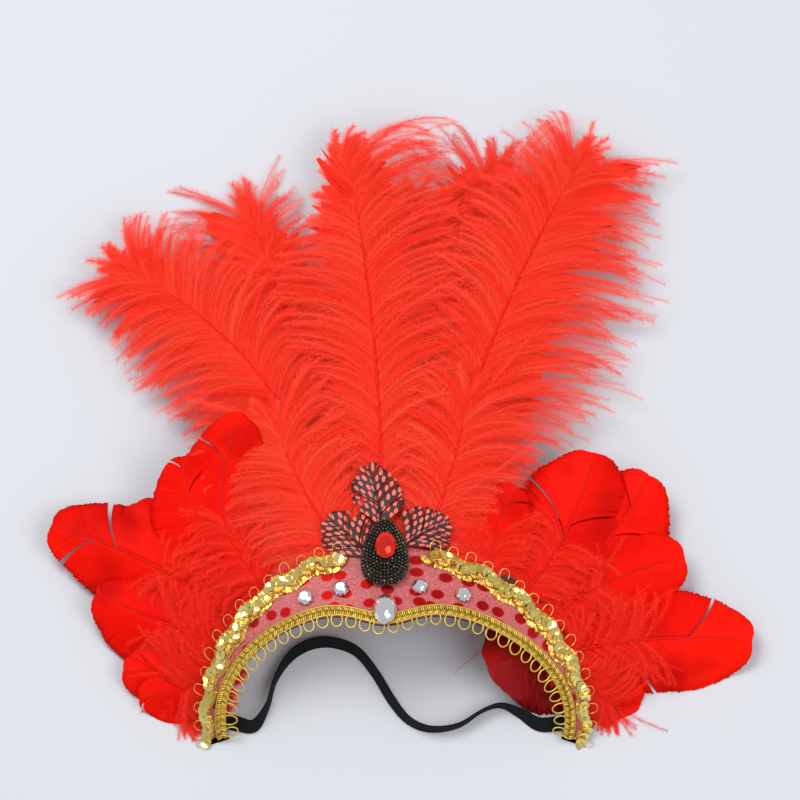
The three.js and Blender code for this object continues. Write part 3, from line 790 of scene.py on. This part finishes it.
def bandSheet(name, form, material, node):
    shape = bmesh.new()
    bmesh.ops.create_grid(shape, x_segments=150, y_segments=10, size=0.5)
    grid = np.array([vertex.co[:] for vertex in shape.verts])
    degrees = grid[:, 0] * 2 * form["endAngle"]
    low, high = lowerEdge(degrees), bandWidth(degrees)
    across = low + (high - low) * (grid[:, 1] + 0.5)
    for vertex, place in zip(shape.verts, toFrame(onBand(degrees, across, form["top"]))):
        vertex.co = place
    layer = shape.loops.layers.uv.new("lay")
    along = np.radians(degrees) * patternRadius
    for face in shape.faces:
        for loop in face.loops:
            loop[layer].uv = (along[loop.vert.index], across[loop.vert.index])
    bmesh.ops.recalc_face_normals(shape, faces=shape.faces)
    if sum(face.normal.z for face in shape.faces) < 0:
        bmesh.ops.reverse_faces(shape, faces=shape.faces)
    bmesh.ops.solidify(shape, geom=shape.faces, thickness=form["thickness"] * 0.001)
    for vertex in shape.verts:
        vertex.co.z = max(vertex.co.z, 0.0001)
    addPiece(meshFromShape(name, shape), material, node, smooth=True)


feltForm = {"top": 1.15, "thickness": 1.0, "endAngle": 100.0}
clothForm = {"top": faceTop, "thickness": 1.75, "endAngle": 96.5}
feltBlack, tree, shader = newMaterial("felt_black", Base_Color=(0.008, 0.007, 0.008, 1), Roughness=0.95)
clothRose, tree, shader = newMaterial("cloth_rose", Roughness=0.5)
clothLay = layMap(tree)
foil = textureOn(tree, clothLay, "ShaderNodeTexVoronoi", voronoi_dimensions="2D", Scale=0.11, Randomness=0.55)
grain = textureOn(tree, clothLay, "ShaderNodeTexVoronoi", voronoi_dimensions="2D", Scale=2.6)
inFoil = maskFrom(tree, foil.outputs["Distance"], 0.34, 0.26)
glitter = addNode(tree, "ShaderNodeValToRGB")
glitter.color_ramp.elements[0].color = (0.3, 0.03, 0.036, 1)
glitter.color_ramp.elements[1].color = (0.8, 0.19, 0.18, 1)
tree.links.new(grain.outputs["Color"], glitter.inputs["Fac"])
dotted = mixColours(tree, inFoil, glitter.outputs["Color"], (0.42, 0.008, 0.009, 1))
tree.links.new(dotted, shader.inputs["Base Color"])
tree.links.new(inFoil, shader.inputs["Metallic"])
bumpFrom(tree, shader, grain.outputs["Color"], 0.6, 0.0004)
bandSheet("band_felt", feltForm, feltBlack, "band_backing")
bandSheet("band_cloth", clothForm, clothRose, "band_face")
print("band covered")

# Gold gimp along the lower edge: slanted ribs between two cords, with a row of thread loops
goldThread, tree, shader = newMaterial("gold_thread", Metallic=0.6, Roughness=0.35)
toned(tree, shader, (0.28, 0.13, 0.02), (0.95, 0.68, 0.1), (0.9, 0.7, 0.2))
gimpForm = {"inner": -0.5, "outer": 5.5, "endAngle": 97, "ribStep": 1.15, "ribRadius": 0.47, "slant": 0.55,
            "cordRadius": 0.5, "cordInset": 0.3, "loops": 36, "loopsEnd": 95, "loopRadius": 3.0,
            "loopTall": 1.25, "threadRadius": 0.42, "loopsFrom": -2.5}
gimpEnds = (-gimpForm["endAngle"], gimpForm["endAngle"])
random = np.random.default_rng(120)
pile = Pile()
ribAngles, gimpLength = evenAngles(*gimpEnds, lowerEdge, gimpForm["ribStep"])
perMillimetre = np.gradient(ribAngles) / gimpForm["ribStep"]
cordLines = (gimpForm["inner"] + gimpForm["cordInset"], gimpForm["outer"] - gimpForm["cordInset"])
for half in (0, 1):
    inHalf = np.linspace(0, 0.5, 5)
    slant = (inHalf - 0.25) * 4 * gimpForm["slant"] * (1 - 2 * half)
    ribDegrees = ribAngles[:, None] + slant * perMillimetre[:, None]
    ribAcross = cordLines[0] + (cordLines[1] - cordLines[0]) * (inHalf + half / 2)
    ribOffset = trimFrom + 0.5 + 0.45 * np.maximum(np.sin(2 * np.pi * inHalf), 0) ** 0.7
    ribPaths = onBand(ribDegrees, lowerEdge(ribAngles)[:, None] + ribAcross, ribOffset)
    ribTone = np.where((np.arange(len(ribAngles)) + half) % 3 == 0, 0.25, 0.7)
    ribTone = np.clip(ribTone + random.normal(0, 0.12, len(ribAngles)), 0, 0.95)
    addTubes(pile, ribPaths, gimpForm["ribRadius"], 6, values=ribTone[:, None], flat=0.8)
cordAngles = np.linspace(*gimpEnds, 260)
for across in cordLines:
    cordLine = onBand(cordAngles, lowerEdge(cordAngles) + across, trimFrom + 0.6)
    addTubes(pile, cordLine[None], gimpForm["cordRadius"], 6)
tapeAcross = lowerEdge(cordAngles)[:, None] + np.linspace(gimpForm["inner"], gimpForm["outer"], 5)
tape = onBand(cordAngles[:, None], tapeAcross, trimFrom + 0.35)
pile.add(tape, quads=gridQuads(np.arange(tape.size // 3).reshape(tape.shape[:2])), values=0.05)
loopAngles, _ = evenAngles(-gimpForm["loopsEnd"], gimpForm["loopsEnd"], lowerEdge,
                           gimpLength / (gimpForm["loops"] - 1))
loopTurn = np.radians(np.linspace(120, 420, 22))
loopSlope = np.interp(loopAngles, ribAngles, perMillimetre)
loopRadius = gimpForm["loopRadius"] * random.uniform(0.92, 1.08, len(loopAngles))[:, None]
loopDegrees = loopAngles[:, None] + loopRadius * np.cos(loopTurn) * loopSlope[:, None]
loopAcross = gimpForm["inner"] + gimpForm["loopsFrom"] + gimpForm["loopTall"] * loopRadius * np.sin(loopTurn)
loopOffset = trimFrom + 0.7 + random.normal(0, 0.35, (len(loopAngles), 1)) * (1 - np.sin(loopTurn)) / 2
loopPaths = onBand(loopDegrees, lowerEdge(loopAngles)[:, None] + loopAcross, loopOffset)
addTubes(pile, loopPaths, gimpForm["threadRadius"], 6, values=0.7)
addPiece(pile.mesh("gimp_ribs_loops"), goldThread, "loop_braid", smooth=True)
print("gimp and loops sewn")

# Sequin braid along the upper edge: a winding chain of sequins, crinkled lurex scallops, outward loops
sequinGold, tree, shader = newMaterial("sequin_gold", Metallic=1.0, Roughness=0.16)
toned(tree, shader, (0.75, 0.52, 0.08), (1.0, 0.9, 0.35), (0.95, 0.8, 0.3))
lurexGold, tree, shader = newMaterial("lurex_gold", Metallic=0.85, Roughness=0.3)
crinkle = textureOn(tree, objectCoords(tree), "ShaderNodeTexVoronoi", Scale=900.0)
bumpFrom(tree, shader, crinkle.outputs["Color"], 1.0, 0.0015)
toned(tree, shader, (0.6, 0.2, 0.02), (1.0, 0.75, 0.18), (0.95, 0.75, 0.25))
braidForm = {"width": 10.0, "overhang": 1.0, "offGimp": 0.3, "startAngle": 13.5, "endAngle": 97, "step": 0.8,
             "waveHeight": 1.2, "waveLength": 20.0, "crinkle": 0.28, "sequinStep": 3.6, "sequinRadius": 2.75,
             "scallopStep": 9.0, "scallopWidth": 5.0, "lurexRadius": 0.55, "loopStep": 10.0, "loopWidth": 2.6,
             "loopHeight": 5.2, "loopRadius": 0.2}


def sequinShape(shape):
    bmesh.ops.create_circle(shape, segments=14, radius=1.0)
    bmesh.ops.translate(shape, vec=(0, 0, 0.12), verts=shape.verts)
    made = bmesh.ops.extrude_edge_only(shape, edges=list(shape.edges))["geom"]
    inner = [part for part in made if isinstance(part, bmesh.types.BMVert)]
    bmesh.ops.scale(shape, vec=(0.18, 0.18, 0.0), verts=inner)


sequinPoints, sequinFaces = shapeArrays(sequinShape)


# Middle and half width of the braid, which narrows where the gimp comes near it
def braidCentre(degrees):
    outer = bandWidth(degrees) + braidForm["overhang"]
    gimpSide = gimpForm["outer"] + braidForm["offGimp"] + braidForm["waveHeight"]
    inner = np.maximum(outer - braidForm["overhang"] - braidForm["width"], gimpSide)
    return (inner + outer) / 2, (outer - inner) / 2


def braidMiddle(degrees):
    return braidCentre(degrees)[0]


def braidOuter(degrees):
    return sum(braidCentre(degrees))


def braidWave(degrees):
    return np.sin(2 * np.pi * np.radians(degrees) * arch["halfSpan"] / braidForm["waveLength"])


def addLurexSheet(pile, fine, random):
    centre, half = braidCentre(fine)
    over = np.linspace(-1, 1, 9)
    across = (centre + braidForm["waveHeight"] * braidWave(fine))[:, None] + over * half[:, None]
    sheet = onBand(fine[:, None], across, trimFrom + 0.5 + 0.5 * (1 - over**2))
    sheet = sheet + random.normal(0, braidForm["crinkle"], sheet.shape)
    index = np.arange(sheet.size // 3).reshape(sheet.shape[:2])
    pile.add(sheet, quads=gridQuads(index), values=0.05 + 0.75 * random.random(index.size))


def addScallop(pile, degrees, perMillimetre, random):
    centre, half = braidCentre(np.array(degrees))
    strands = 13
    fan = np.radians(np.linspace(-172, -8, strands))
    reach = np.linspace(0.15, 1, 6)
    along = np.cos(fan)[:, None] * reach * braidForm["scallopWidth"]
    across = centre + 1.0 + np.sin(fan)[:, None] * reach * half * 0.95 + 0.8 * braidWave(degrees)
    lift = trimFrom + 0.9 + 0.9 * np.sin(np.pi * reach * 0.8)[None] + random.normal(0, 0.2, (strands, 1))
    tones = np.clip(random.normal(0.55, 0.25, (strands, 1)), 0, 0.95)
    strandPaths = onBand(degrees + along * perMillimetre, across, lift)
    addTubes(pile, strandPaths, braidForm["lurexRadius"], 5, values=tones)


def addOuterLoops(pile, loops, perMillimetre, random):
    turn = np.linspace(0, 1, 20)
    along = np.cos(np.pi * (1.15 * turn - 0.075)) * braidForm["loopWidth"]
    out = np.sin(np.pi * turn) ** 0.7 * braidForm["loopHeight"]
    tall = random.uniform(0.8, 1.15, len(loops))[:, None]
    across = braidOuter(loops)[:, None] - 0.8 + out * tall
    path = onBand(loops[:, None] + along * perMillimetre[:, None], across, trimFrom + 1.0)
    path[..., 2] += 1.2 * np.sin(np.pi * turn)
    addTubes(pile, path, braidForm["loopRadius"], 5, values=0.8)


def addSequins(pile, chain, random):
    centre, half = braidCentre(chain)
    across = centre + 0.8 + 2.0 * braidWave(chain) * np.minimum(1, half / 5)
    place = onBand(chain, across, trimFrom + 2.3)
    ahead = onBand(chain + 0.3, across, trimFrom + 2.3) - place
    normal = surfaceNormal(*bandPlan(chain, across))
    up = unit(normal + random.normal(0, 0.2, (len(chain), 3)) + unit(ahead) * 0.2)
    right = unit(np.cross(np.cross(up, ahead), up))
    ways = np.stack((right, np.cross(up, right), up), 1)
    tones = np.clip(random.normal(0.6, 0.25, len(chain)), 0, 0.95)
    addStamps(pile, sequinPoints * braidForm["sequinRadius"], sequinFaces, ways, place, tones)


def makeBraid(word, start, end, scallopsFrom, seed):
    random = np.random.default_rng(seed)
    lurex, sequins = Pile(), Pile()
    fine, _ = evenAngles(start, end, braidMiddle, braidForm["step"])
    perMillimetre = np.gradient(fine) / braidForm["step"]
    addLurexSheet(lurex, fine, random)
    scallops, _ = evenAngles(scallopsFrom, end, braidMiddle, braidForm["scallopStep"])
    for degrees in scallops:
        addScallop(lurex, degrees, np.interp(degrees, fine, perMillimetre), random)
    loops, _ = evenAngles(start, end, braidOuter, braidForm["loopStep"])
    addOuterLoops(lurex, loops, np.interp(loops, fine, perMillimetre), random)
    chain, _ = evenAngles(start, end, braidMiddle, braidForm["sequinStep"])
    addSequins(sequins, chain, random)
    node = "sequin_braid_" + word
    addPiece(lurex.mesh("braid_lurex_" + word), lurexGold, node)
    addPiece(sequins.mesh("braid_sequins_" + word), sequinGold, node)


braidStart, braidEnd = braidForm["startAngle"], braidForm["endAngle"]
makeBraid("left", -braidEnd, -braidStart, 1.5 - braidEnd, 131)
makeBraid("right", braidStart, braidEnd, braidStart - 1.5, 132)
print("sequin braid sewn")


# Stones: girdle, two rows of crown facets and a table, from the hull of their rings
stoneRings = ((0.0, 0.47, 0.0), (0.14, 0.5, 0.0), (0.26, 0.5, 0.0), (0.66, 0.405, 0.5), (0.9, 0.285, 0.0),
              (1.0, 0.22, 0.5))  # height, radius, share of a facet turned


def seatAt(x, y, offset):
    x, y = np.array(float(x)), np.array(float(y))
    up = surfaceNormal(x, y)
    return offSurface(x, y, offset), Vector((0, 0, 1)).rotation_difference(Vector(up)).to_matrix()


def setInPlace(shape, turn, place):
    bmesh.ops.rotate(shape, cent=(0, 0, 0), matrix=turn, verts=shape.verts)
    bmesh.ops.translate(shape, vec=toFrame(place), verts=shape.verts)
    bmesh.ops.recalc_face_normals(shape, faces=shape.faces)


def makeStone(name, place, turn, size, sides, material, slot):
    shape = bmesh.new()
    for height, radius, shift in stoneRings:
        spin = Matrix.Rotation(2 * math.pi * shift / sides, 4, "Z")
        made = bmesh.ops.create_circle(shape, segments=sides, radius=radius, matrix=spin)["verts"]
        bmesh.ops.translate(shape, vec=(0, 0, height), verts=made)
    bmesh.ops.convex_hull(shape, input=list(shape.verts))
    bmesh.ops.dissolve_limit(shape, angle_limit=0.01, verts=shape.verts, edges=shape.edges)
    bmesh.ops.scale(shape, vec=Vector(size) * 0.001, verts=shape.verts)
    setInPlace(shape, turn, place)
    addPiece(meshFromShape(name + "_cut", shape), material, name)


stoneClear, tree, shader = newMaterial("stone_clear", Base_Color=(0.86, 0.84, 0.87, 1), Metallic=0.95,
                                       Roughness=0.05, Coat_Weight=0.4, Coat_Roughness=0.03)
stoneRed, tree, shader = newMaterial("stone_red", Base_Color=(0.95, 0.03, 0.012, 1), Metallic=0.85,
                                     Roughness=0.06, Coat_Weight=0.3, Coat_Roughness=0.03)
roundStones = {"size": (9.2, 9.2, 3.8), "sides": 12, "across": 12.5, "degrees": {
    "stone_left_outer": -26, "stone_left_inner": -14, "stone_right_inner": 10.5, "stone_right_outer": 24}}
ovalStone = {"x": -5.2, "y": 47, "lift": 1.7, "size": (13, 18, 5.5), "sides": 14}
for name, degrees in roundStones["degrees"].items():
    x, y = bandPlan(np.array(float(degrees)), np.array(roundStones["across"]))
    seat = seatAt(x, y, trimFrom)
    makeStone(name, *seat, roundStones["size"], roundStones["sides"], stoneClear, "clear_stone")
seat = seatAt(ovalStone["x"], ovalStone["y"], trimFrom + ovalStone["lift"])
makeStone("stone_oval", *seat, ovalStone["size"], ovalStone["sides"], stoneClear, "clear_stone")

# Medallion: a drop covered in dark seed beads, round a red stone
medallionForm = {"x": -5.5, "y": 80, "width": 26.0, "length": 39.0, "depth": 5.0, "from": 5.6, "rim": 56,
                 "feltInset": 1.2, "feltBelow": 0.8, "bead": 0.95, "beadSunk": 0.4, "beadLoose": 0.12}
# inset from the outline, and height
beadRows = ((0.9, 1.2), (0.9, 3.0), (1.6, 4.6), (3.4, 5.0), (5.2, 5.2), (7.0, 5.3), (8.8, 5.3), (10.6, 5.3))
redStone = {"x": -5, "y": 82, "from": 10.9, "size": (12, 16, 5), "sides": 14, "bare": (5.4, 7.4),
            "at": (0.5, 2)}
medallionPlace, medallionTurn = seatAt(medallionForm["x"], medallionForm["y"], medallionForm["from"])


def bezier(points):
    t = np.linspace(0, 1, 40)[:, None]
    a, b, c, d = points
    return (1 - t) ** 3 * a + 3 * t * (1 - t) ** 2 * b + 3 * t**2 * (1 - t) * c + t**3 * d


# Places round the drop, and the length of its outline
def dropOutline(inset, count):
    half = medallionForm["width"] / 2 - inset
    foot, top = -medallionForm["length"] / 2 + inset, medallionForm["length"] / 2 - inset
    corners = np.array(((0, foot), (0.75 * half, foot), (half, foot + 0.5 * half), (half, foot + 1.1 * half),
                        (half, foot + 1.9 * half), (0.5 * half, top), (0, top)))
    right = np.vstack((bezier(corners[:4]), bezier(corners[3:])[1:]))
    whole = np.vstack((right, right[-2:0:-1] * (-1, 1), right[:1]))
    lengths = lengthsAlong(whole)
    at = np.linspace(0, lengths[-1], count, endpoint=False)
    return np.column_stack([np.interp(at, lengths, side) for side in whole.T]), lengths[-1]


beadDark, tree, shader = newMaterial("bead_dark", Metallic=0.7, Roughness=0.18, Coat_Weight=0.6)
toned(tree, shader, (0.012, 0.011, 0.006), (0.2, 0.15, 0.05), (0.3, 0.25, 0.1))
shape = bmesh.new()
rim, _ = dropOutline(medallionForm["feltInset"], medallionForm["rim"])
circle = bmesh.ops.create_circle(shape, cap_ends=True, segments=medallionForm["rim"], radius=1)["verts"]
for vertex, place in zip(circle, rim):
    vertex.co = (place[0] * 0.001, place[1] * 0.001, 0)
faces = list(shape.faces)
bmesh.ops.recalc_face_normals(shape, faces=faces)
raised = bmesh.ops.extrude_face_region(shape, geom=faces)["geom"]
raisedVerts = [part for part in raised if isinstance(part, bmesh.types.BMVert)]
feltHeight = (medallionForm["depth"] - medallionForm["feltBelow"]) * 0.001
bmesh.ops.translate(shape, vec=(0, 0, feltHeight), verts=raisedVerts)
setInPlace(shape, medallionTurn, medallionPlace)
addPiece(meshFromShape("medallion_felt", shape), feltBlack, "medallion")


def beadShape(shape):
    bmesh.ops.create_icosphere(shape, subdivisions=1, radius=1.0)


beadPoints, beadFaces = shapeArrays(beadShape)
random = np.random.default_rng(150)
beadRings = []
for inset, height in beadRows:
    _, around = dropOutline(inset, 8)
    count = int(around / (2 * medallionForm["bead"] * 1.02))
    ring, _ = dropOutline(inset, count)
    beadRings.append(np.column_stack((ring, np.full(count, height - medallionForm["beadSunk"]))))
beads = np.vstack(beadRings)
beads = beads + random.normal(0, medallionForm["beadLoose"], beads.shape)
underStone = np.linalg.norm((beads[:, :2] - redStone["at"]) / redStone["bare"], axis=1) < 1
beads = beads[~underStone] @ np.array(medallionTurn).T + medallionPlace
spinAngles = random.uniform(0, 6.28, len(beads))
spinAxes = random.normal(0, 1, (len(beads), 3))
spins = np.array([Matrix.Rotation(angle, 3, Vector(axis)) for angle, axis in zip(spinAngles, spinAxes)])
pile = Pile()
addStamps(pile, beadPoints * medallionForm["bead"], beadFaces, spins, beads,
          np.clip(random.exponential(0.22, len(beads)), 0, 0.95))
addPiece(pile.mesh("medallion_beads"), beadDark, "medallion", smooth=True)
redPlace, _ = seatAt(redStone["x"], redStone["y"], redStone["from"])
makeStone("stone_red", redPlace, medallionTurn, redStone["size"], redStone["sides"], stoneRed, "red_stone")
print("stones and medallion set")

# Floor and light
shape = bmesh.new()
bmesh.ops.create_grid(shape, x_segments=1, y_segments=1, size=4.0)
floor = bpy.data.objects.new("floor", meshFromShape("floor", shape))
scene.collection.objects.link(floor)
floorPale, tree, shader = newMaterial("floor_pale", Base_Color=(0.645, 0.658, 0.692, 1), Roughness=0.9)
floor.data.materials.append(floorPale)

world = bpy.data.worlds.new("studio")
scene.world = world
world.use_nodes = True
sky = world.node_tree.nodes["Background"]
sky.inputs["Color"].default_value = (0.93, 0.96, 1.0, 1)
sky.inputs["Strength"].default_value = 0.55


def addSoftbox(name, place, size, energy):
    data = bpy.data.lights.new(name, "AREA")
    data.shape = "DISK"
    data.size = size
    data.energy = energy
    light = bpy.data.objects.new(name, data)
    light.location = place
    light.rotation_euler = (-Vector(place)).to_track_quat("-Z", "Y").to_euler()
    scene.collection.objects.link(light)


addSoftbox("key softbox", (-0.5, 0.5, 1.5), 0.9, 15)
addSoftbox("fill softbox", (0.7, -0.5, 1.3), 1.0, 7.5)
print("studio lit")
